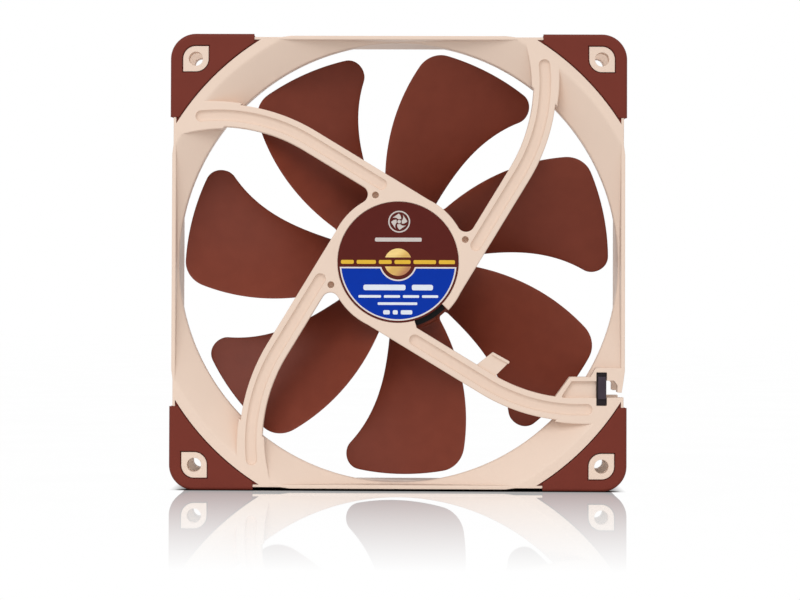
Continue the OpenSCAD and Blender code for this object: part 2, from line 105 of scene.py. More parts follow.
THROAT_R = 67.6
THROAT_WIDENING = 1.0  # how much wider the throat's inlet end is
FLARE_R = 77.2
FLARE_DEPTH = 5.4
INLET_R = 69.6
INLET_LENGTH = 6.2
INLET_LIP = 1.4  # how much wider the inlet is at its mouth
INLET_LIP_DEPTH = 2.0

STRUT_W = 7.0
STRUT_T = 4.0
STRUT_TURN = 31.2
STRUT_BEND_R = 54.4
STRUT_STRAIGHT = 42.3
STRUT_OVERRUN = 8.5  # how far a strut bends on past its turn
STRUT_REACH = STRUT_STRAIGHT + STRUT_BEND_R * radians(STRUT_TURN) + STRUT_OVERRUN
HUB_R = 21.3
HUB_LEDGE = 0.1  # how far a strut's outer side stays inside the hub ring
STRUT_OFFSET = HUB_R - HUB_LEDGE - STRUT_W / 2
ROOT_EXTRA = 1.1  # how much a strut's root stands out on each side
ROOT_SLANT = 4.6  # how much longer its inner side is
GROOVE_W = 3.4
GROOVE_DEPTH = 1.2
GROOVE_START = 16.8
GROOVE_MARGIN = 3.1
GROOVE_END = STRUT_REACH - GROOVE_MARGIN
GROOVE_CUT_SHORT = 2.8  # how much earlier the groove beside the leads ends
POCKET_FILLET = 2.7

LABEL_R = LABEL_HIGH.x
LABEL_FACE = LABEL_HIGH.z
LABEL_FLOOR = LABEL_LOW.z  # floor of the label's recess
BASE_FLOOR = 1.6
BOARD_R = 19.4
LEAD_GAP = (286.0, 316.5)  # angles of the opening in the hub ring
BOSS_HOLE_R = 1.03  # small blind holes round the hub
BOSS_HOLE_DEPTH = 2.8
BOSS_HOLE_AT = 21.7
BOSS_HOLE_ANGLE = 108.8
BEARING_TUBE_R = 4.5
BEARING_TUBE_WALL = 0.9
BEARING_TUBE_END = -6.6

BLADE_COUNT = 7
TIP_R = 65.9
CUP_R = 21.0
CUP_FRONT = ROTOR_LOW.z
CUP_REAR = ROTOR_HIGH.z


def to_row(point):
    """A face-frame point in millimetres as a row-frame point in metres."""
    x, y, z = point
    return Vector((x, -z, y)) * MM


# ---- outlines ----

def arc(radius, start, end, step=3.0, centre=(0.0, 0.0)):
    """Points along an arc, both ends included."""
    count = max(1, ceil(abs(end - start) / step))
    angles = [radians(start + (end - start) * i / count) for i in range(count + 1)]
    return [(centre[0] + radius * cos(a), centre[1] + radius * sin(a)) for a in angles]


def circle(radius, steps=120, centre=(0.0, 0.0)):
    return arc(radius, 0, 360, 360 / steps, centre)[:-1]


def rectangle(x0, y0, x1, y1):
    return [(x0, y0), (x1, y0), (x1, y1), (x0, y1)]


def turned(points, angle):
    c, s = cos(radians(angle)), sin(radians(angle))
    return [(x * c - y * s, x * s + y * c) for x, y in points]


def moved(points, dx, dy):
    return [(x + dx, y + dy) for x, y in points]


def quarters(points):
    """The points of the top right quarter of a closed outline, and their three quarter turns."""
    return [p for turn in (0, 90, 180, 270) for p in turned(points, turn)]


def anticlockwise(points):
    following = points[1:] + points[:1]
    area = sum(x0 * y1 - x1 * y0 for (x0, y0), (x1, y1) in zip(points, following))
    return points if area > 0 else points[::-1]


def offset(points, distance):
    """The anticlockwise outline moved outwards by a distance, with mitred corners."""
    sharpest = 0.35  # keeps the mitre of a very sharp corner short
    out = []
    for i, (x, y) in enumerate(points):
        before, after = points[i - 1], points[(i + 1) % len(points)]
        a = Vector((x - before[0], y - before[1])).normalized()
        b = Vector((after[0] - x, after[1] - y)).normalized()
        normal = Vector((a.y + b.y, -a.x - b.x)).normalized()
        stretch = 1 / max(sharpest, normal.dot(Vector((a.y, -a.x))))
        out.append((x + normal.x * distance * stretch, y + normal.y * distance * stretch))
    return out


def rounded(points, radii, step=15.0):
    """The outline with its corners rounded, by one radius or by a radius for each corner."""
    if not isinstance(radii, list):
        radii = [radii] * len(points)
    share, least = 0.45, 0.01  # most of a side that a corner takes, and least worth rounding
    out = []
    for i, (corner, radius) in enumerate(zip(points, radii)):
        p = Vector(corner)
        before = Vector(points[i - 1]) - p
        after = Vector(points[(i + 1) % len(points)]) - p
        half = before.angle(after) / 2
        reach = min(radius / tan(half), share * before.length, share * after.length)
        if reach < least:
            out.append(corner)
            continue
        r = reach * tan(half)
        centre = p + (before.normalized() + after.normalized()).normalized() * r / sin(half)
        start = p + before.normalized() * reach - centre
        end = p + after.normalized() * reach - centre
        first = degrees(atan2(start.y, start.x))
        last = degrees(atan2(end.y, end.x))
        sweep = (last - first + 180) % 360 - 180
        out += arc(r, first, first + sweep, step, centre)
    return out


# ---- solids ----

def add_object(name, data):
    added = bpy.data.objects.new(name, data)
    bpy.context.scene.collection.objects.link(added)
    return added


def closed_solid(bm):
    bmesh.ops.recalc_face_normals(bm, faces=bm.faces)
    mesh = bpy.data.meshes.new("solid")
    bm.to_mesh(mesh)
    bm.free()
    return add_object("solid", mesh)


def skin(bm, lower, upper):
    """Faces between two rings of vertices, of which one may be a single point, repeated."""
    for i in range(len(lower)):
        k = (i + 1) % len(lower)
        corners = list(dict.fromkeys((lower[i], lower[k], upper[k], upper[i])))
        if len(corners) > 2:
            bm.faces.new(corners)


def from_loops(loops, folded=False):
    """A closed solid through a stack of loops of equal length. The ends are closed by one face
    each or, where the loop is folded about its middle, by a strip from one half to the other."""
    bm = bmesh.new()
    rings = [[bm.verts.new(to_row(p)) for p in loop] for loop in loops]
    for lower, upper in zip(rings, rings[1:]):
        skin(bm, lower, upper)
    count = len(loops[0])
    for end in (rings[0], rings[-1]):
        if folded:
            for i in range(count // 2 - 1):
                bm.faces.new((end[i], end[i + 1], end[count - 2 - i], end[count - 1 - i]))
        else:
            bm.faces.new(end)
    return closed_solid(bm)


def stack(outline, stations):
    """A solid through copies of an outline, one at each (z, outward offset) station."""
    outline = anticlockwise(outline)
    return from_loops([[(x, y, z) for x, y in offset(outline, grow)] for z, grow in stations])


def edge_stations(rounding, steps=4):
    """(distance in from an end face, outward offset) along one end of a prism. A positive
    rounding rounds the edge off. A negative one flares it, so that a cutter rounds its mouth."""
    if rounding == 0:
        return [(0.0, 0.0)]
    angles = [pi / 2 * i / steps for i in range(steps + 1)]
    if rounding > 0:
        return [(rounding * (1 - cos(a)), -rounding * (1 - sin(a))) for a in angles]
    flare = -rounding
    mouth = [(flare * (1 - sin(a)), flare * (1 - cos(a))) for a in reversed(angles)]
    return [(-1.0, flare)] + mouth


def prism(outline, low, high, edges=(0.0, 0.0), draft=0.0):
    """A straight solid between two heights. edges holds the rounding at its low and at its high
    end, as in edge_stations, and draft is how much wider its high end is."""
    stations = [(low + d, grow) for d, grow in edge_stations(edges[0])]
    stations += [(high - d, grow) for d, grow in reversed(edge_stations(edges[1]))]
    return stack(outline, [(z, grow + draft * (z - low) / (high - low)) for z, grow in stations])


ON_AXIS = 1e-6  # a smaller radius counts as a point on the axis


def revolve(profile, steps=180):
    """A solid turned about the fan's axis from a closed run of (radius, z) points."""
    bm = bmesh.new()
    angles = [2 * pi * i / steps for i in range(steps)]
    rings = []
    for radius, z in profile:
        if radius < ON_AXIS:
            rings.append([bm.verts.new(to_row((0, 0, z)))] * steps)
        else:
            rings.append([bm.verts.new(to_row((radius * cos(a), radius * sin(a), z)))
                          for a in angles])
    for lower, upper in zip(rings, rings[1:] + rings[:1]):
        skin(bm, lower, upper)
    return closed_solid(bm)


def combine(target, others, operation):
    """Boolean of a piece with other closed solids, which are used up."""
    for other in others:
        change = target.modifiers.new("combine", "BOOLEAN")
        change.object = other
        change.operation = operation
        change.solver = "MANIFOLD"
    graph = bpy.context.evaluated_depsgraph_get()
    mesh = bpy.data.meshes.new_from_object(target.evaluated_get(graph))
    target.modifiers.clear()
    target.data = mesh
    for other in others:
        bpy.data.objects.remove(other)
    return target


def spun(piece, angle):
    """The piece turned about the fan's axis, anticlockwise seen from the outlet side."""
    piece.data.transform(Matrix.Rotation(radians(-angle), 4, "Y"))
    return piece


def copied(piece):
    return add_object("solid", piece.data.copy())


def mirrored(piece):
    """The piece reflected from the outlet side to the intake side."""
    piece.data.transform(Matrix.Scale(-1, 4, Vector((0, 1, 0))))
    piece.data.flip_normals()
    return piece


def finish_piece(piece, name, nodes, material, body="stator", smooth_angle=32.0):
    """Names a piece, shades it, hides the CAD nodes it stands in for, and ties it to its body."""
    mesh = piece.data
    piece.name = mesh.name = name
    mesh.materials.clear()
    mesh.materials.append(material)
    mesh.shade_smooth()
    mesh.set_sharp_from_angle(angle=radians(smooth_angle))
    weighted = piece.modifiers.new("even_normals", "WEIGHTED_NORMAL")
    weighted.keep_sharp = True
    weighted.weight = 80
    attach(piece, body)
    if nodes:
        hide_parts(*nodes)


# ---- frame ----

STRUT_BOTTOM = FACE - STRUT_T
BASE_Z = LABEL_FLOOR - BASE_FLOOR  # motor side of the plate under the label
THROUGH = 1.0  # how far a cutter runs past the face it cuts


def corner_arc(half):
    """The top right corner, about the screw hole, of an outline of this half width."""
    return arc(half - HOLE_C, 0, 90, 5, (HOLE_C, HOLE_C))


def corner_square(half):
    return quarters(corner_arc(half))


def flange_outline():
    ramp_end = SIDE_HALF + SIDE_RAMP
    side = [(SIDE_EDGE, -SIDE_HALF), (SIDE_EDGE, SIDE_HALF), (EDGE, ramp_end)]
    return quarters(side + corner_arc(EDGE) + [(ramp_end, EDGE)])


def tube_outline():
    side = SIDE_EDGE - TUBE_STEP
    start = degrees(acos(side / TUBE_R))
    return quarters(arc(TUBE_R, start, 90 - start))


def duct_cutter():
    """Flared outlet, throat, slow widening, stepped inlet, and four flat side walls."""
    step_z = INLET_LENGTH - FACE
    beyond = FACE + THROUGH
    lip_z = INLET_LIP_DEPTH - FACE
    clear_r = FLARE_R + 3
    profile = [
        (0, -beyond), (INLET_R + INLET_LIP, -beyond), (INLET_R + 1, lip_z), (INLET_R, lip_z),
        (INLET_R, step_z), (THROAT_R + THROAT_WIDENING, step_z), (THROAT_R, FACE - FLARE_DEPTH),
        (FLARE_R, FACE), (clear_r, FACE + 0.05), (clear_r, beyond), (0, beyond),
    ]
    radii = [0, 0, 0.3, 0.3, 0.4, 0.4, 1.0, 2.5, 0, 0, 0]
    walls = prism(rectangle(-WALL_FRONT, -WALL_FRONT, WALL_FRONT, WALL_FRONT),
                  -FACE, FACE, edges=(-0.4, -0.4), draft=WALL_REAR - WALL_FRONT)
    return combine(revolve(rounded(profile, radii), 240), [walls], "INTERSECT")


def strut_point(along, side):
    """A point beside a strut's middle line, in the strut's own frame. The line runs along x and
    then bends to the left; side is positive towards the left."""
    turn = max(0.0, along - STRUT_STRAIGHT) / STRUT_BEND_R
    if turn == 0:
        return (along, side - STRUT_OFFSET)
    radius = STRUT_BEND_R - side
    return (STRUT_STRAIGHT + radius * sin(turn),
            STRUT_BEND_R - STRUT_OFFSET - radius * cos(turn))


def strut_side(start, end, side, spacing=1.5):
    """Points along one side of a strut between two distances along its middle line."""
    count = ceil((end - STRUT_STRAIGHT) / spacing)
    stations = [STRUT_STRAIGHT + (end - STRUT_STRAIGHT) * i / count for i in range(count)]
    stations = [start] + [s for s in stations if s > start] + [end]
    return [strut_point(s, side) for s in stations]


def strut_angle(index):
    """Turn of a strut's own frame. Strut 2 is the lower right one, beside the leads."""
    return 180 - STRUT_TURN + 90 * index


def spider_quarter(beside_leads):
    """One strut and the stretch of hub ring up to the next, in the strut's own frame."""
    half = STRUT_W / 2
    outer_y = -STRUT_OFFSET - half
    inner_y = -STRUT_OFFSET + half
    start_x = sqrt(HUB_R ** 2 - outer_y ** 2)
    next_strut = degrees(atan2(outer_y, start_x)) + 90
    outer = strut_side(start_x, STRUT_REACH, -half)
    if beside_leads:
        gap_start, gap_end = (angle - strut_angle(2) for angle in LEAD_GAP)
        inner_start = inner_y / tan(radians(gap_start))
        ring = arc(LABEL_R - 0.2, gap_start, gap_end)
        ring += arc(HUB_R, gap_end, next_strut)
    else:
        fillet_y = inner_y + POCKET_FILLET
        inner_start = sqrt((HUB_R + POCKET_FILLET) ** 2 - fillet_y ** 2)
        touch = degrees(atan2(fillet_y, inner_start))
        ring = arc(POCKET_FILLET, 270, 180 + touch, 12, (inner_start, fillet_y))[1:]
        ring += arc(HUB_R, touch, next_strut)[1:]
    inner = strut_side(inner_start, STRUT_REACH, half)
    return outer + inner[::-1] + ring[:-1]


def spider():
    """The hub ring and the four struts."""
    outline = []
    for index in range(4):
        outline += turned(spider_quarter(index == 2), strut_angle(index))
    return prism(outline, STRUT_BOTTOM, FACE, edges=(0.7, 0.4))


def distance_at_radius(side, radius):
    """How far along a strut one of its sides crosses a circle about the fan's axis."""
    low, high = STRUT_STRAIGHT, STRUT_REACH
    halvings = 24
    for _ in range(halvings):
        middle = (low + high) / 2
        if hypot(*strut_point(middle, side)) < radius:
            low = middle
        else:
            high = middle
    return low


def strut_root(index):
    """The root of a strut, from the throat to the flat ring. It widens a little on its way, and
    as the strut meets the ring at a slant, its inner side is the longer one."""
    half = STRUT_W / 2
    steps = 6
    first_share, added_share = 0.6, 0.5  # of ROOT_EXTRA, at the throat and along the way
    sides = []
    for sign, reach in ((-1, STRUT_REACH), (1, STRUT_REACH + ROOT_SLANT)):
        start = distance_at_radius(sign * half, THROAT_R + 0.3)
        side = []
        for i in range(steps + 1):
            extra = ROOT_EXTRA * (first_share + added_share * i / steps)
            side.append(strut_point(start + (reach - start) * i / steps, sign * (half + extra)))
        sides.append(side)
    return spun(prism(sides[0] + sides[1][::-1], STRUT_BOTTOM, FACE, edges=(0.3, 0.45)),
                strut_angle(index))


def groove_cutter(index):
    """Soft round-ended groove along a strut, with a hollow floor. The one beside the lead clip
    ends early."""
    end = GROOVE_END - (GROOVE_CUT_SHORT if index == 2 else 0)
    half = GROOVE_W / 2
    end_turn = degrees((end - STRUT_STRAIGHT) / STRUT_BEND_R)
    outline = strut_side(GROOVE_START, end, -half)
    outline += arc(half, end_turn - 90, end_turn + 90, 15, strut_point(end, 0))[1:-1]
    outline += strut_side(GROOVE_START, end, half)[::-1]
    outline += arc(half, 90, 270, 15, strut_point(GROOVE_START, 0))[1:-1]
    hollow_width, hollow_rise, mouth = 1.1, 0.9, 0.12
    unit_quarter = edge_stations(1.0, 6)
    stations = [(FACE - GROOVE_DEPTH + rise * hollow_rise, grow * hollow_width)
                for rise, grow in unit_quarter]
    stations += [(FACE - depth, grow) for depth, grow in reversed(edge_stations(-mouth))]
    return spun(stack(outline, stations), strut_angle(index))


# Outlines of the lead fittings beside the lower right strut, and their depths
TAB = [(24, -31.5), (29.1, -27.4), (34.3, -30.3), (30.1, -34.5), (30.7, -35.8), (28, -36)]
TRAY = [(47.8, -41.5), (52.6, -34.9), (60, -34.9), (60, -43), (48, -43)]
TRAY_FLOOR = [(49.8, -41.3), (53.2, -36.2), (63.9, -36.2), (63.9, -41.3)]
CLIP_BOSS = [(58.8, -35), (60.5, -32.1), (68.6, -32.1), (68.6, -43), (58.8, -43)]
CLIP_SEAT = rectangle(60.7, -43.7, 63.9, -33.5)
OUTLET = [(63.8, -36), (66.1, -36), (67.1, -37.4), (67.1, -39.6), (71, -39.8), (71, -41.2),
          (63.8, -41.2)]
OUTLET_SLANT = [(71, -32), (69.5, -33), (68.4, -39.7), (71, -39.7)]
TRAY_DEPTH = 1.6
TAB_T = 2.4
TAB_LIP = 0.9
TAB_LIP_RISE = 0.7
CLIP_SEAT_FLOOR = 0.4  # left under the clip's legs


def lead_fittings():
    """The tab with its raised lip, the tray and the block that holds the clip."""
    tab = prism(rounded(TAB, 0.35), FACE - TAB_T, FACE - TAB_LIP_RISE, edges=(0.3, 0.2))
    start, end = Vector(TAB[1]), Vector(TAB[2])
    inwards = Vector((end - start).orthogonal()).normalized() * -TAB_LIP
    lip_outline = rounded([tuple(p) for p in (start, end, end + inwards, start + inwards)], 0.3)
    lip = prism(lip_outline, FACE - TAB_T, FACE, edges=(0.3, 0.25))
    tray_drop, boss_drop = 0.04, 0.02
    tray = prism(rounded(TRAY, 0.3), STRUT_BOTTOM, FACE - tray_drop, edges=(0.3, 0.3))
    boss = prism(rounded(CLIP_BOSS, 0.3), STRUT_BOTTOM, FACE - boss_drop, edges=(0.3, 0.3))
    return [tab, lip, tray, boss]


def pad_seat_outline():
    """Seat of the top right pad: it runs out over the edge past the skirt's end, and its
    pointed tips stay inside a rim."""
    tip_x = sqrt(PAD_ARC_R ** 2 - SEAT_TIP_Y ** 2)
    tip_angle = degrees(atan2(SEAT_TIP_Y, tip_x))
    out = HALF_SIDE + 5
    return (arc(PAD_ARC_R, tip_angle, 90 - tip_angle, 1.5)
            + [(SEAT_TIP_Y, SKIRT_END), (out, SKIRT_END), (out, out), (SKIRT_END, out),
               (SKIRT_END, SEAT_TIP_Y)])


def leaf(radius):
    """Outline of a pad's window and of the boss inside it: round, with two square corners."""
    points = arc(radius, 0, 90, 6) + [(-radius, radius)]
    points += arc(radius, 180, 270, 6) + [(radius, -radius)]
    return moved(points, HOLE_C, HOLE_C)


def corner_cutters():
    """Pad seat round its screw boss, and the screw hole, of the top right corner."""
    seat = prism(pad_seat_outline(), FACE - PAD_SEAT, FACE, edges=(0, -0.1))
    boss = prism(leaf(BOSS_R), FACE - PAD_SEAT - THROUGH, FACE, edges=(0, 0.1))
    combine(seat, [boss], "DIFFERENCE")
    hole = prism(circle(HOLE_R, 48, (HOLE_C, HOLE_C)), 0, FACE, edges=(0, -0.15))
    return [seat, hole]


def frame_cutters():
    """Everything that is cut into the moulding but the duct."""
    label_gap, board_gap = 0.1, 0.2
    cutters = [groove_cutter(index) for index in range(4)]
    cutters.append(prism(circle(LABEL_R + label_gap, 180), LABEL_FLOOR, FACE, edges=(0, -0.2)))
    cutters.append(prism(circle(BOARD_R + board_gap, 180), STRUT_BOTTOM - THROUGH, BASE_Z,
                         edges=(0, 0.4)))
    for index in (0, 1, 3):
        hole = prism(circle(BOSS_HOLE_R, 36, (BOSS_HOLE_AT, 0)), FACE - BOSS_HOLE_DEPTH, FACE,
                     edges=(0.2, -0.15))
        cutters.append(spun(hole, BOSS_HOLE_ANGLE + 90 * index))
    for turn in (0, 90, 180, 270):
        for cutter in corner_cutters():
            cutters.append(spun(mirrored(copied(cutter)), turn))
            cutters.append(spun(cutter, turn))
    cutters.append(prism(rounded(TRAY_FLOOR, 0.5), FACE - TRAY_DEPTH, FACE, edges=(0.3, -0.2)))
    cutters.append(prism(rounded(CLIP_SEAT, 0.2), STRUT_BOTTOM + CLIP_SEAT_FLOOR, FACE,
                         edges=(0, -0.12)))
    for outline in (OUTLET, OUTLET_SLANT):
        cutters.append(prism(rounded(outline, 0.2), -FACE, FACE, edges=(-0.15, -0.15)))
    return cutters


def make_frame(material):
    """The whole moulding, as one piece."""
    body = prism(flange_outline(), FLANGE_BACK, FACE, edges=(0.3, 0.25))
    front_flange = mirrored(copied(body))
    tube = prism(tube_outline(), THROUGH - FACE, FACE - THROUGH)
    combine(body, [front_flange, tube], "UNION")
    combine(body, [duct_cutter()], "DIFFERENCE")
    bore, tube_side = BEARING_TUBE_R, BEARING_TUBE_R + BEARING_TUBE_WALL
    root = BASE_Z + 0.1
    bearing_tube = revolve([(bore, BEARING_TUBE_END), (tube_side, BEARING_TUBE_END),
                            (tube_side, root), (bore, root)], 72)
    roots = [strut_root(index) for index in range(4)]
    combine(body, [spider()] + roots + lead_fittings(), "UNION")
    combine(body, frame_cutters(), "DIFFERENCE")
    combine(body, [bearing_tube], "UNION")
    finish_piece(body, "frame_moulding", ["frame"], material)


# ---- corner pads ----

def pad_outline():
    """Face of the top right pad: an arc on the inside, and softened skirt ends."""
    radius = PAD_ARC_R + PAD_GAP
    reach = degrees(acos(SKIRT_END / radius))
    inside = arc(radius, reach, 90 - reach, 1.5)
    corner = corner_arc(HALF_SIDE)
    points = inside + [(HALF_SIDE, SKIRT_END)] + corner + [(SKIRT_END, HALF_SIDE)]
    radii = [0.5] + [0] * (len(inside) - 2) + [0.5, 0.6] + [0] * len(corner) + [0.6]
    return rounded(points, radii)


def corner_pad():
    """Pad of the top right corner on the outlet side, well rounded where it meets the side. Its
    foot fills the seat, and its face leaves an open joint along the arc and round the boss."""
    seat = FACE - PAD_SEAT
    overlap = 0.3
    pad = prism(corner_square(HALF_SIDE), FLANGE_BACK, PAD_FACE, edges=(0.35, 1.1))
    face = prism(pad_outline(), FLANGE_BACK, PAD_FACE, edges=(0.35, 0.35))
    foot = prism(offset(anticlockwise(pad_seat_outline()), -PAD_FOOT_GAP),
                 seat - overlap, seat + PAD_FOOT_T)
    flange = prism(corner_square(EDGE), FLANGE_BACK, seat, edges=(-0.1, 0.0))
    window = prism(leaf(BOSS_R + PAD_GAP), seat + PAD_FOOT_T, PAD_FACE, edges=(0, -0.25))
    foot_window = prism(leaf(BOSS_R + PAD_FOOT_GAP), seat - THROUGH, PAD_FACE)
    combine(face, [foot], "UNION")
    combine(pad, [face], "INTERSECT")
    return combine(pad, [flange, window, foot_window], "DIFFERENCE")


def make_pads(material):
    pad = corner_pad()
    for turn, corner in zip((0, 90, 180, 270),
                            ("top_right", "top_left", "bottom_left", "bottom_right")):
        rear = spun(copied(pad), turn)
        front = spun(mirrored(copied(pad)), turn)
        for piece, side in ((rear, "rear"), (front, "front")):
            node = f"{side}_pad_{corner}"
            finish_piece(piece, f"{node}_silicone", [node], material)
    bpy.data.objects.remove(pad)


# ---- impeller ----

BLADE_FRONT = -9.2  # leading edges, near the intake
BLADE_REAR = 6.9  # trailing edges, near the outlet
LEAD_CORNER = 4.85  # rounding of a blade's two corners at the tip
TRAIL_CORNER = 10.2
CAMBER = 0.07
ROOT_T = 2.4
TIP_T = 1.6
BLADE_ROOT_R = CUP_R - 0.9
THINNING = 0.25  # a section is this much thinner at its trailing end
LEAST_HALF = 0.02
ROOT_FILLET = 1.3
ROOT_THICKENING = 0.6  # how much of the fillet goes to each face of the blade
ROOT_LENGTHENING = 0.35  # and to each end of its section
TIP_SOFTENING = 0.35  # rounding of the edges round the tip


def lead_angle(r):
    """Angle of a blade's leading edge at a radius. The curve is fitted to the photograph."""
    return 57.75 - 0.0082 * (r - 26.6) ** 2


def trail_angle(r):
    """The same for its trailing edge."""
    return 97.2 - 0.39 * (r - 31) - 0.00185 * (r - 31) ** 2


def edge_lean(angle_at, inwards):
    """How far a blade's edge moves inwards for each millimetre below the tip. inwards is +1
    where a larger angle means further into the blade, and otherwise -1."""
    radius = TIP_R - 3
    drop = angle_at(radius - 1) - angle_at(radius + 1)
    return inwards * radians(drop / 2) * radius


LEAD_LEAN = edge_lean(lead_angle, 1)
TRAIL_LEAN = edge_lean(trail_angle, -1)


def quarter_drop(distance, radius):
    """How far a quarter circle has fallen short at a distance from the end of its radius."""
    short = radius - min(radius, max(0.0, distance))
    return radius - sqrt(radius ** 2 - short ** 2)


def corner_depth(radius, lean):
    """Depth below the tip at which a rounded corner starts."""
    return radius * (1 + cos(atan2(1, lean)))


def corner_bite(depth, radius, lean):
    """How far a rounded corner cuts into a blade at a depth below its tip, in millimetres."""
    if depth >= corner_depth(radius, lean):
        return 0.0
    centre = radius / tan(atan2(1, lean) / 2)
    reach = sqrt(max(0.0, radius ** 2 - (radius - depth) ** 2))
    return centre - reach - depth * lean


def blade_loop(r, steps=28):
    """Outline of a blade's section at a radius, from its leading to its trailing edge and back."""
    arc_mm = pi * r / 180
    start = lead_angle(r) * arc_mm
    end = trail_angle(r) * arc_mm
    chord = hypot(end - start, BLADE_REAR - BLADE_FRONT)
    along = Vector((end - start, BLADE_REAR - BLADE_FRONT)) / chord
    across = Vector((along.y, -along.x))
    spread = quarter_drop(r - CUP_R, ROOT_FILLET)
    lengthening = ROOT_LENGTHENING * spread
    depth = max(0.0, TIP_R - r)
    lead_bite = (corner_bite(depth, LEAD_CORNER, LEAD_LEAN) / along.x - lengthening) / chord
    trail_bite = (corner_bite(depth, TRAIL_CORNER, TRAIL_LEAN) / along.x - lengthening) / chord
    thick = (ROOT_T + (TIP_T - ROOT_T) * (r - BLADE_ROOT_R) / (TIP_R - BLADE_ROOT_R)) / 2
    thick -= quarter_drop(depth, TIP_SOFTENING)
    loop = []
    for side in (1, -1):
        for i in range(steps + 1):
            t = i / steps if side == 1 else 1 - i / steps
            t = (1 - cos(pi * t)) / 2
            u = lead_bite + t * (1 - lead_bite - trail_bite)
            half = thick * sqrt(max(0.0, sin(pi * t))) * (1 - THINNING * t)
            half = max(half, LEAST_HALF) + ROOT_THICKENING * spread
            lift = 4 * CAMBER * chord * u * (1 - u) + side * half
            s = start + u * chord * along.x + lift * across.x
            z = BLADE_FRONT + u * chord * along.y + lift * across.y
            angle = radians(s / arc_mm)
            loop.append((r * cos(angle), r * sin(angle), z))
    return loop


def blade():
    """One blade, with its sections closest together in the fillet and at the tip."""
    fillet_steps, body_steps, tip_steps = 6, 24, 18
    fillet = [CUP_R + ROOT_FILLET * (i / fillet_steps) ** 2 for i in range(fillet_steps + 1)]
    fillet.insert(0, BLADE_ROOT_R)
    rounding = corner_depth(LEAD_CORNER, LEAD_LEAN)
    body_start, body_end = fillet[-1], TIP_R - rounding
    body = [body_start + (body_end - body_start) * i / body_steps
            for i in range(1, body_steps + 1)]
    tip = [body_end + rounding * sin(pi / 2 * i / tip_steps) for i in range(1, tip_steps + 1)]
    return from_loops([blade_loop(r) for r in fillet + body + tip], folded=True)


def impeller_hub():
    """A cup open towards the motor, with a post for the shaft's bushing and a dimple in front."""
    inner = CUP_R - 1.8
    inside = CUP_FRONT + 1.6
    post_r, bore_r = 4.4, 3.2
    post_end = BEARING_TUBE_END - 1.2
    bore_floor = CUP_FRONT + 0.8
    dimple_r = 1.6
    dimple = CUP_FRONT + 0.35
    profile = [
        (inner, CUP_REAR), (inner, inside), (post_r, inside), (post_r, post_end),
        (bore_r, post_end), (bore_r, bore_floor), (0, bore_floor), (0, dimple),
        (dimple_r, dimple), (dimple_r, CUP_FRONT), (CUP_R, CUP_FRONT), (CUP_R, CUP_REAR),
    ]
    radii = [0.3, 0.8, 0.8, 0.3, 0.2, 0, 0, 0, 0.2, 0.2, 2.0, 0.4]
    return revolve(rounded(profile, radii), 180)


def make_impeller(material):
    hub = impeller_hub()
    first = blade()
    blades = [spun(copied(first), 360 / BLADE_COUNT * i) for i in range(BLADE_COUNT)]
    bpy.data.objects.remove(first)
    combine(hub, blades, "UNION")
    finish_piece(hub, "impeller_moulding", ["impeller"], material, "rotor", 40)


# ---- label ----

PRINT_T = 0.02  # thickness of one layer of ink


def printed(outlines, layer, name, material):
    """Ink of one colour on the label: closed outlines, printed in one layer."""
    shapes = []
    for outline in outlines:
        shapes.append(prism(outline, LABEL_FACE - PRINT_T, LABEL_FACE + layer * PRINT_T))
    ink = combine(shapes[0], shapes[1:], "UNION")
    finish_piece(ink, name, [], material)


def word_bars(x0, x1, y0, y1, *words):
    """Plain bars that fill a line of the label. words are their relative lengths."""
    space = 0.9
    scale = (x1 - x0) / (sum(words) + space * (len(words) - 1))
    bars, x = [], x0
    for length in words:
        bars.append(rounded(rectangle(x, y0, x + length * scale, y1), (y1 - y0) / 3))
        x += (length + space) * scale
    return bars


def data_field():
    """The lower part of the label: a disc cut off level, with a round bite at its middle."""
    radius, top, bite = 17.7, -1.7, 5.57
    side = degrees(asin(-top / radius))
    notch = degrees(asin(-top / bite))
    return arc(radius, 180 + side, 360 - side, 3) + arc(bite, -notch, notch - 180, 6)


def fan_sign(centre):
    """A generic fan sign: a ring in two halves, a hub and four curved blades."""
    ring_outside, ring_inside, hub = 3.35, 2.95, 0.55
    twist, width = 26, 62
    shapes = []
    for start in (0, 180):
        shapes.append(arc(ring_outside, start, start + 180, 6)
                      + arc(ring_inside, start + 180, start, 6))
    for turn in range(0, 360, 90):
        lead = [(r, turn + twist * r) for r in (0.8, 1.2, 1.6, 2.0, 2.4)]
        trail = [(r, turn + twist * r - width) for r in (2.5, 2.2, 1.8, 1.4, 1.0)]
        shapes.append([(r * cos(radians(a)), r * sin(radians(a))) for r, a in lead + trail])
    shapes.append(circle(hub, 24))
    return [moved(shape, *centre) for shape in shapes]


def gold_caps():
    """The two visible parts of the disc, above and below the band that crosses it."""
    radius, band_top, band_bottom = 4.2, 1.45, -1.33
    upper = degrees(asin(band_top / radius))
    lower = degrees(asin(-band_bottom / radius))
    return [arc(radius, upper, 180 - upper, 5), arc(radius, 180 + lower, 360 - lower, 5)]


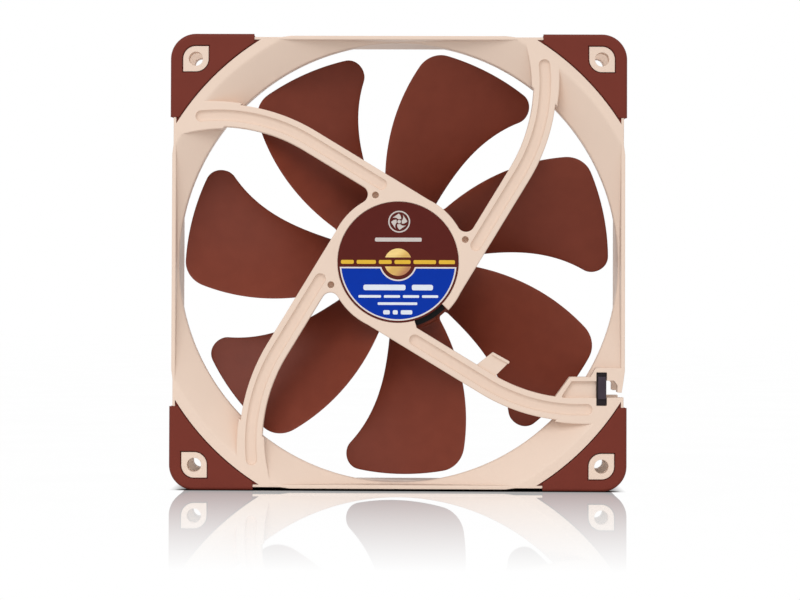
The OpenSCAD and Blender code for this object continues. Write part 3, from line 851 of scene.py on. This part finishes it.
def make_label():
    """The round film and, in thin layers on it, everything printed."""
    disc = prism(circle(LABEL_R, 180), LABEL_FLOOR, LABEL_FACE, edges=(0, 0.08))
    brown = film("label_brown", 88, 32, 26)
    finish_piece(disc, "label_disc", ["label"], brown)
    border = 0.22
    field = anticlockwise(data_field())
    printed([offset(field, border)], 1, "label_field_border", film("ink_cream", 226, 218, 214))
    printed([offset(field, -border)], 2, "label_field", film("ink_blue", 0, 50, 162))
    white = word_bars(-10.6, 10.7, -8.6, -6.9, 6, 3)
    white += word_bars(-12.1, 12.3, -10.9, -10.1, 7, 5, 5, 5)
    white += word_bars(-6.2, 5.9, -13.1, -12.3, 14)
    white += word_bars(-4.5, 4.4, -16.0, -14.7, 2, 1.5, 3.5)
    printed(white, 3, "label_lines", film("ink_white", 225, 230, 240))
    printed(word_bars(-7.1, 7.2, 6.3, 7.5, 1) + fan_sign((0.3, 12.4)), 1, "label_sign",
            film("ink_silver", 205, 196, 190))
    printed(gold_caps(), 1, "label_gold_disc", gold_foil())
    printed(word_bars(-17.5, 17.4, -0.55, 0.65, 4, 6, 4, 5, 7, 5), 2, "label_gold_line",
            film("ink_gold", 226, 182, 62))


# ---- lead clip ----

CLIP_END_DROP = 0.7  # how far the two ends lie below the raised bar


def make_lead_clip(material):
    """A staple over the lead channel: a raised bar between two lower ends with legs."""
    leg = 1.6
    under = FACE - 0.9
    left, right, bottom, top = 0.4, 0.15, 1.9, 1.2  # margins of the bar on the base
    base = rectangle(CLIP_LOW.x, CLIP_LOW.y, CLIP_HIGH.x, CLIP_HIGH.y)
    bar = rectangle(CLIP_LOW.x + left, CLIP_LOW.y + bottom, CLIP_HIGH.x - right, CLIP_HIGH.y - top)
    clip = prism(rounded(base, 0.25), CLIP_LOW.z, CLIP_HIGH.z - CLIP_END_DROP, edges=(0.2, 0.2))
    combine(clip, [prism(rounded(bar, 0.25), under - 0.3, CLIP_HIGH.z, edges=(0, 0.25))], "UNION")
    channel = rectangle(CLIP_LOW.x - 1, CLIP_LOW.y + leg, CLIP_HIGH.x + 1, CLIP_HIGH.y - leg)
    combine(clip, [prism(channel, CLIP_LOW.z - 1, under, edges=(0, 0.15))], "DIFFERENCE")
    finish_piece(clip, "lead_clip_staple", ["lead_clip"], material)


# ---- circuit board ----

def make_circuit_board(material):
    """The board, with a tab that fills the lead opening where the leads are soldered on. Its
    near-black lacquer is partly painted shade, which keeps the opening dark.
    """
    low, high = node_limits("circuit_board")
    tab_r, bore_r, pin_at, pin_r = 20.2, 5.62, 6.6, 0.45
    start, end = LEAD_GAP
    outline = arc(tab_r, start + 1, end - 1) + arc(BOARD_R, end - 1, start + 359)
    board = prism(outline, low.z, high.z, edges=(0.08, 0.08))
    holes = [circle(bore_r, 60)]
    holes += [circle(pin_r, 20, place) for place in quarters([(pin_at, 0)])]
    cutters = [prism(hole, low.z, high.z, edges=(-0.05, -0.05)) for hole in holes]
    combine(board, cutters, "DIFFERENCE")
    finish_piece(board, "circuit_board_panel", ["circuit_board"], material)


# ---- materials ----

WHITE = (1.0, 1.0, 1.0, 1.0)


def srgb(red, green, blue):
    """An 8-bit display colour as linear RGBA."""
    def linear(value):
        value /= 255
        return value / 12.92 if value <= 0.04045 else ((value + 0.055) / 1.055) ** 2.4
    return (linear(red), linear(green), linear(blue), 1.0)


def shaded(colour, factor):
    """A linear colour, darker or lighter."""
    return tuple(min(1.0, c * factor) for c in colour[:3]) + (1.0,)


class Nodes:
    """Shorthand for adding nodes to a tree. A value given to an input is either an output of
    another node, which is joined to it, or a plain one."""

    def __init__(self, tree):
        self.tree = tree
        self.nodes = tree.nodes

    def put(self, value, socket):
        if isinstance(value, bpy.types.NodeSocket):
            self.tree.links.new(value, socket)
        else:
            socket.default_value = value

    def fill(self, node, **values):
        """Puts values to a node's inputs, named with _ for each space."""
        for name, value in values.items():
            self.put(value, node.inputs[name.replace("_", " ")])

    def add(self, kind, **values):
        """A new shader node of a kind, with some of its inputs filled."""
        node = self.nodes.new("ShaderNode" + kind)
        self.fill(node, **values)
        return node

    def math(self, operation, *values):
        """One step of arithmetic."""
        step = self.add("Math")
        step.operation = operation
        for value, socket in zip(values, step.inputs):
            self.put(value, socket)
        return step.outputs["Value"]

    def span(self, factor, low, high, start=0.0, end=1.0):
        """A factor that runs from start to end, spread over another range."""
        return self.add("MapRange", Value=factor, From_Min=start, From_Max=end,
                        To_Min=low, To_Max=high).outputs["Result"]


class Recipe(Nodes):
    """A material under construction."""

    def __init__(self, name):
        self.material = bpy.data.materials.new(name)
        self.material.use_nodes = True
        super().__init__(self.material.node_tree)
        self.surface = self.nodes["Principled BSDF"]
        self.place = self.add("TexCoord").outputs["Object"]

    def set(self, **values):
        """Puts values to the surface's inputs."""
        self.fill(self.surface, **values)

    def colour(self):
        """What the surface's base colour is joined to."""
        return self.surface.inputs["Base Color"].links[0].from_socket

    def stretched(self, scale):
        """The place on the object, scaled by a different amount along each axis."""
        return self.add("Mapping", Vector=self.place, Scale=scale).outputs["Vector"]

    def axis(self, name):
        """The place along one axis of the object, in metres."""
        return self.add("SeparateXYZ", Vector=self.place).outputs[name]

    def noise(self, size_mm, detail=3.0, place=None):
        """Noise whose features are about this large."""
        return self.add("TexNoise", Vector=place or self.place,
                        Scale=1 / (size_mm * MM), Detail=detail).outputs["Fac"]

    def waves(self, kind, scale, distortion):
        """Even bands along the fan's axis, or rings about it."""
        wave = self.add("TexWave", Vector=self.place, Scale=scale, Distortion=distortion)
        wave.wave_type = kind
        wave.bands_direction = "Y"
        wave.rings_direction = "Y"
        return wave.outputs["Fac"]

    def ramp(self, factor, stops):
        """Colours placed along a factor: stops is a list of (position, colour)."""
        ramp = self.add("ValToRGB", Fac=factor)
        elements = ramp.color_ramp.elements
        while len(elements) < len(stops):
            elements.new(0.5)
        for element, (position, colour) in zip(elements, stops):
            element.position = position
            element.color = colour
        return ramp.outputs["Color"]

    def tones(self, factor, dark, light, start=0.3, end=0.7):
        """Two colours that meet across the middle of a factor."""
        return self.ramp(factor, [(start, dark), (end, light)])

    def blend(self, factor, colour_a, colour_b, mode="MIX"):
        mix = self.add("Mix")
        mix.data_type = "RGBA"
        mix.blend_type = mode
        self.fill(mix, Factor=factor, A=colour_a, B=colour_b)
        return mix.outputs["Result"]

    def bump(self, height, depth_mm, **under):
        """A bump of a height map, laid over an earlier bump if one is given as Normal."""
        return self.add("Bump", Height=height, Distance=depth_mm * MM,
                        **under).outputs["Normal"]


def plastic(name, colour, roughness, grain_mm, grain_depth, blotch_mm, contrast):
    """Moulded plastic: slow variation of shade, a fine moulded grain and uneven gloss."""
    uneven_gloss = 0.07
    recipe = Recipe(name)
    blotch = recipe.noise(blotch_mm, 4)
    grain = recipe.noise(grain_mm, 2)
    ripple = recipe.noise(grain_mm * 12, 2)
    soft = recipe.bump(ripple, grain_depth * 2)
    recipe.set(
        Base_Color=recipe.tones(blotch, shaded(colour, 1 - contrast), shaded(colour, 1 + contrast)),
        Roughness=recipe.span(grain, roughness - uneven_gloss, roughness + uneven_gloss),
        Normal=recipe.bump(grain, grain_depth, Normal=soft),
    )
    return recipe


def frame_plastic():
    recipe = plastic("frame_plastic", srgb(233, 209, 191), roughness=0.48, grain_mm=0.35,
                     grain_depth=0.004, blotch_mm=14, contrast=0.012)
    recipe.set(Specular_IOR_Level=0.3)
    return recipe.material


def impeller_plastic():
    """Glass-filled plastic: faint flow lines run out from the hub, and short fibres show."""
    recipe = plastic("impeller_plastic", srgb(121, 55, 38), roughness=0.45, grain_mm=0.4,
                     grain_depth=0.004, blotch_mm=9, contrast=0.05)
    flow = recipe.noise(5, 5, recipe.stretched((1.0, 0.25, 1.0)))
    fibres = recipe.noise(0.6, 1, recipe.stretched((1.0, 1.0, 0.3)))
    streak = recipe.tones(flow, srgb(117, 52, 36), srgb(126, 58, 41), 0.35, 0.65)
    fleck = recipe.span(fibres, 0.3, 0.6)
    recipe.set(Base_Color=recipe.blend(fleck, recipe.colour(), streak), Specular_IOR_Level=0.2)
    return recipe.material


def silicone():
    """Soft rubbery pad material with a faint sheen."""
    recipe = plastic("silicone", srgb(112, 44, 31), roughness=0.6, grain_mm=0.25,
                     grain_depth=0.005, blotch_mm=6, contrast=0.03)
    recipe.set(Sheen_Weight=0.03, Sheen_Roughness=0.5, Specular_IOR_Level=0.2)
    return recipe.material


def film(name, red, green, blue):
    """Printed film: even colour with a faint mottle of ink and a slightly wavy surface."""
    recipe = plastic(name, srgb(red, green, blue), roughness=0.45, grain_mm=0.5,
                     grain_depth=0.001, blotch_mm=2.5, contrast=0.025)
    recipe.set(Specular_IOR_Level=0.08)
    return recipe.material


def gold_foil():
    """Brushed gold print with a painted highlight at the upper left that fades to a warmer painted
    shade at the lower right.
    """
    reach = 5 * MM
    recipe = Recipe("gold_foil")
    # Painted highlight and shade: the colour runs along the disc's diagonal, lightest at the upper
    # left.
    slope = recipe.math("SUBTRACT", recipe.axis("Z"), recipe.axis("X"))
    tone = recipe.ramp(recipe.span(slope, 0, 1, -reach, reach),
                       [(0.0, srgb(186, 126, 84)), (0.25, srgb(216, 172, 96)),
                        (0.5, srgb(222, 178, 92)), (0.8, srgb(250, 217, 136))])
    brush = recipe.noise(0.3, 3, recipe.stretched((0.05, 1.0, 1.0)))
    dark = recipe.tones(brush, shaded(WHITE, 0.75), WHITE)
    recipe.set(Base_Color=recipe.blend(0.6, tone, dark, "MULTIPLY"),
               Roughness=recipe.span(brush, 0.3, 0.5), Metallic=0.25)
    return recipe.material


def clip_plastic():
    """Dark plastic of the clip, with painted shade that darkens it with depth below the raised bar,
    so that its two lower ends are darkest.
    """
    recipe = plastic("clip_plastic", srgb(64, 55, 64), roughness=0.4, grain_mm=0.3,
                     grain_depth=0.004, blotch_mm=3, contrast=0.08)
    # Painted shade: the colour darkens from just below the bar's top down to the level of the two
    # ends.
    painted_shade_depth = recipe.span(recipe.axis("Y"), 0, 1,
                        -(CLIP_HIGH.z - 0.2) * MM, -(CLIP_HIGH.z - CLIP_END_DROP) * MM)
    dark = recipe.tones(recipe.noise(0.5), srgb(36, 30, 32), srgb(46, 39, 42))
    recipe.set(Base_Color=recipe.blend(painted_shade_depth, recipe.colour(), dark), Specular_IOR_Level=0.1)
    return recipe.material


def metal(name, colour, roughness, streak_mm, stretch):
    """Machined or rolled metal: fine streaks that vary its gloss, shade and height."""
    recipe = Recipe(name)
    streak = recipe.noise(streak_mm, 4, recipe.stretched(stretch))
    stain = recipe.noise(streak_mm * 20, 3)
    tone = recipe.tones(streak, shaded(colour, 0.86), shaded(colour, 1.08))
    dull = recipe.tones(stain, shaded(colour, 0.8), colour, 0.35)
    recipe.set(
        Base_Color=recipe.blend(recipe.span(stain, 0.2, 0.6), tone, dull),
        Roughness=recipe.span(streak, roughness * 0.75, roughness * 1.3),
        Normal=recipe.bump(streak, 0.004),
        Metallic=1.0,
    )
    return recipe.material


def laminated_steel():
    """Stacked sheets of the stator core: fine dark joints between bright cut edges."""
    recipe = Recipe("laminated_steel")
    one_per_mm = 314
    sheets = recipe.waves("BANDS", one_per_mm, 0.4)
    recipe.set(
        Base_Color=recipe.ramp(sheets, [(0.0, srgb(60, 60, 66)), (0.25, srgb(150, 152, 158)),
                                        (1.0, srgb(176, 178, 184))]),
        Roughness=recipe.span(recipe.noise(0.6), 0.35, 0.6),
        Normal=recipe.bump(sheets, 0.05),
        Metallic=1.0,
    )
    return recipe.material


def copper_wire():
    """Enamelled wire laid side by side: rings about the fan's axis stand for the turns."""
    recipe = Recipe("copper_wire")
    three_per_mm = 900
    turns = recipe.waves("RINGS", three_per_mm, 0.6)
    recipe.set(
        Base_Color=recipe.ramp(turns, [(0.0, srgb(96, 40, 16)), (0.5, srgb(196, 104, 48)),
                                       (1.0, srgb(226, 140, 78))]),
        Roughness=recipe.span(recipe.noise(0.4), 0.22, 0.4),
        Normal=recipe.bump(turns, 0.1),
        Metallic=0.85,
        Coat_Weight=0.4,
    )
    return recipe.material


def speckled(name, colour, speck_colour, speck_mm, amount, roughness, metallic=0.0):
    """A matt body with specks in it, such as ferrite, sintered bronze, ceramic or board lacquer."""
    recipe = Recipe(name)
    cells = recipe.add("TexVoronoi", Vector=recipe.place, Scale=1 / (speck_mm * MM))
    distance = cells.outputs["Distance"]
    specks = recipe.tones(distance, speck_colour, colour, amount, amount + 0.15)
    shade = recipe.tones(recipe.noise(speck_mm * 8), shaded(colour, 0.85), shaded(colour, 1.15))
    recipe.set(
        Base_Color=recipe.blend(recipe.noise(speck_mm * 3), specks, shade),
        Roughness=recipe.span(distance, roughness - 0.1, roughness + 0.1),
        Normal=recipe.bump(distance, 0.006),
        Metallic=metallic,
        Specular_IOR_Level=0.15,
    )
    return recipe.material


def paint(material, *nodes):
    for node in nodes:
        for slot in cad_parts[node].material_slots:
            slot.material = material


def paint_inner_parts():
    """Gives the CAD nodes inside the motor their materials."""
    # Painted shade: the rotor yoke's steel is made nearly black, so that the band seen through the
    # lead opening stays dark.
    paint(metal("painted_shade_steel", srgb(38, 38, 40), 0.45, 0.3, (1.0, 0.1, 1.0)), "rotor_yoke")
    paint(metal("plated_steel", srgb(178, 180, 184), 0.35, 0.3, (1.0, 0.1, 1.0)),
          "stabiliser_magnet")
    paint(metal("polished_steel", srgb(205, 206, 210), 0.16, 0.15, (1.0, 8.0, 1.0)), "shaft")
    paint(metal("turned_brass", srgb(206, 170, 92), 0.28, 0.2, (0.2, 6.0, 0.2)),
          "shaft_bushing", "bearing_shell")
    paint(metal("solder", srgb(190, 192, 198), 0.3, 0.4, (1.0, 1.0, 1.0)),
          "winding_pins", "solder_joints")
    paint(speckled("ferrite", srgb(56, 56, 60), srgb(104, 104, 110), 0.25, 0.15, 0.6),
          "ring_magnet")
    paint(speckled("sintered_bronze", srgb(158, 118, 66), srgb(84, 58, 32), 0.2, 0.2, 0.5, 0.8),
          "bearing_sleeve")
    paint(speckled("chip_epoxy", srgb(34, 34, 37), srgb(74, 74, 78), 0.12, 0.12, 0.55),
          "driver_chip", "hall_sensor")
    paint(speckled("ceramic", srgb(176, 152, 120), srgb(208, 188, 160), 0.15, 0.2, 0.45),
          "board_parts")
    paint(plastic("nylon", srgb(232, 226, 210), 0.4, 0.3, 0.003, 3, 0.02).material,
          "retaining_ring", "oil_seal", "front_insulator", "rear_insulator")
    paint(plastic("dark_polymer", srgb(46, 44, 48), 0.45, 0.3, 0.003, 3, 0.06).material,
          "thrust_pad")
    paint(laminated_steel(), "stator_core")
    paint(copper_wire(), "windings")


# ---- stage ----

def make_floor(bounce):
    """A pale glossy floor with painted shadow: its glow and its mirror are darkened beneath the
    object and, in a thin painted contact shadow, round its foot. It mirrors the object beside its
    foot, and less further off. bounce is how much light it throws back at the object."""
    bpy.ops.mesh.primitive_plane_add(size=6, location=(0, 0, cad_bounds[0].z))
    floor = bpy.context.object
    floor.name = "floor"
    # Painted shadow: the floor's glow and mirror are dark beneath the object, inside these ranges.
    shadow_x, shadow_y = (64 * MM, 70 * MM), (12.2 * MM, 12.6 * MM)  # from dark to open
    mirror_gone = -225 * MM
    recipe = Recipe("floor")
    fade = recipe.span(recipe.axis("Y"), 0, 0.64, mirror_gone, cad_bounds[0].y)
    beside_x = recipe.span(recipe.math("ABSOLUTE", recipe.axis("X")), 0, 1, *shadow_x)
    beside_y = recipe.span(recipe.math("ABSOLUTE", recipe.axis("Y")), 0, 1, *shadow_y)
    # Painted contact shadow: ambient occlusion darkens the glow and the mirror close to the object.
    near = recipe.add("AmbientOcclusion", Distance=2 * MM)
    near.samples = 8
    openness = recipe.math("MULTIPLY", recipe.math("MAXIMUM", beside_x, beside_y),
                           recipe.math("POWER", near.outputs["AO"], 1.5))
    diffuse = recipe.add("LightPath").outputs["Is Diffuse Ray"]
    thrown = recipe.math("MULTIPLY", openness, recipe.span(diffuse, 1, bounce))
    glow = recipe.add("Emission", Strength=thrown)
    mottle = recipe.noise(40)
    tint = recipe.tones(mottle, shaded(WHITE, 0.985), WHITE)
    # Colour of the mirror inside the painted shadow.
    painted_shadow_tint = recipe.tones(mottle, (0.02, 0.01, 0.005, 1), (0.03, 0.015, 0.01, 1))
    mirror = recipe.add("BsdfGlossy", Roughness=0.02,
                        Color=recipe.blend(openness, painted_shadow_tint, tint))
    mix = recipe.add("MixShader", Fac=fade)
    recipe.put(glow.outputs["Emission"], mix.inputs[1])
    recipe.put(mirror.outputs["BSDF"], mix.inputs[2])
    recipe.fill(recipe.nodes["Material Output"], Surface=mix.outputs["Shader"])
    floor.data.materials.append(recipe.material)


def make_world(around, front, top):
    """A white surround that looks even, but throws more light on the object from the camera's
    side and from above."""
    world = bpy.data.worlds.new("studio")
    bpy.context.scene.world = world
    world.use_nodes = True
    tree = Nodes(world.node_tree)
    place = tree.add("TexCoord").outputs["Generated"]
    direction = tree.add("SeparateXYZ", Vector=place)
    from_front = tree.span(direction.outputs["Y"], around, around + front, 0.3, -1)
    from_above = tree.span(direction.outputs["Z"], 0, top)
    thrown = tree.math("ADD", from_front, from_above)
    diffuse = tree.add("LightPath").outputs["Is Diffuse Ray"]
    strength = tree.add("Mix", Factor=diffuse, A=1.0, B=thrown)
    tree.fill(tree.nodes["Background"], Color=WHITE, Strength=strength.outputs["Result"])


def aimed(place, target):
    """Rotation that points a lamp or a camera from one place to another."""
    return (Vector(target) - Vector(place)).to_track_quat("-Z", "Y")


def make_softbox(place, target, size, watts):
    lamp = bpy.data.lights.new("key", "AREA")
    lamp.shape = "RECTANGLE"
    lamp.size, lamp.size_y = size
    lamp.energy = watts
    light = add_object("key", lamp)
    light.location = place
    light.rotation_euler = aimed(place, target).to_euler()


def make_camera():
    """Camera in front of the outlet side, just below the middle of the fan."""
    camera = add_object("camera", bpy.data.cameras.new("camera"))
    target = (-0.0085, -0.0125, 0.0019)
    roll = Quaternion((0, 0, 1), radians(0.2004))
    camera.location = (0.0025, -0.7425, -0.0107)
    camera.rotation_euler = (aimed(camera.location, target) @ roll).to_euler()
    camera.data.lens = 107.37
    camera.data.sensor_width = 36.0
    camera.data.shift_x = 0.0371
    camera.data.shift_y = -0.0552
    bpy.context.scene.camera = camera


# ---- assembly ----

make_frame(frame_plastic())
make_pads(silicone())
make_impeller(impeller_plastic())
make_label()
make_lead_clip(clip_plastic())
# The board lacquer is black, and is made darker still as painted shade for the lead opening.
make_circuit_board(speckled("board_lacquer_and_painted_shade", srgb(7, 7, 8), srgb(20, 20, 20), 0.5, 0.1, 0.4))
paint_inner_parts()

make_floor(bounce=0.6)
make_world(around=0.27, front=0.71, top=0.12)
make_softbox(place=(-0.25, -0.85, 0.6), target=(0, 0, 0), size=(0.7, 0.5), watts=3.3)
make_camera()
bpy.context.scene.view_settings.view_transform = "Standard"
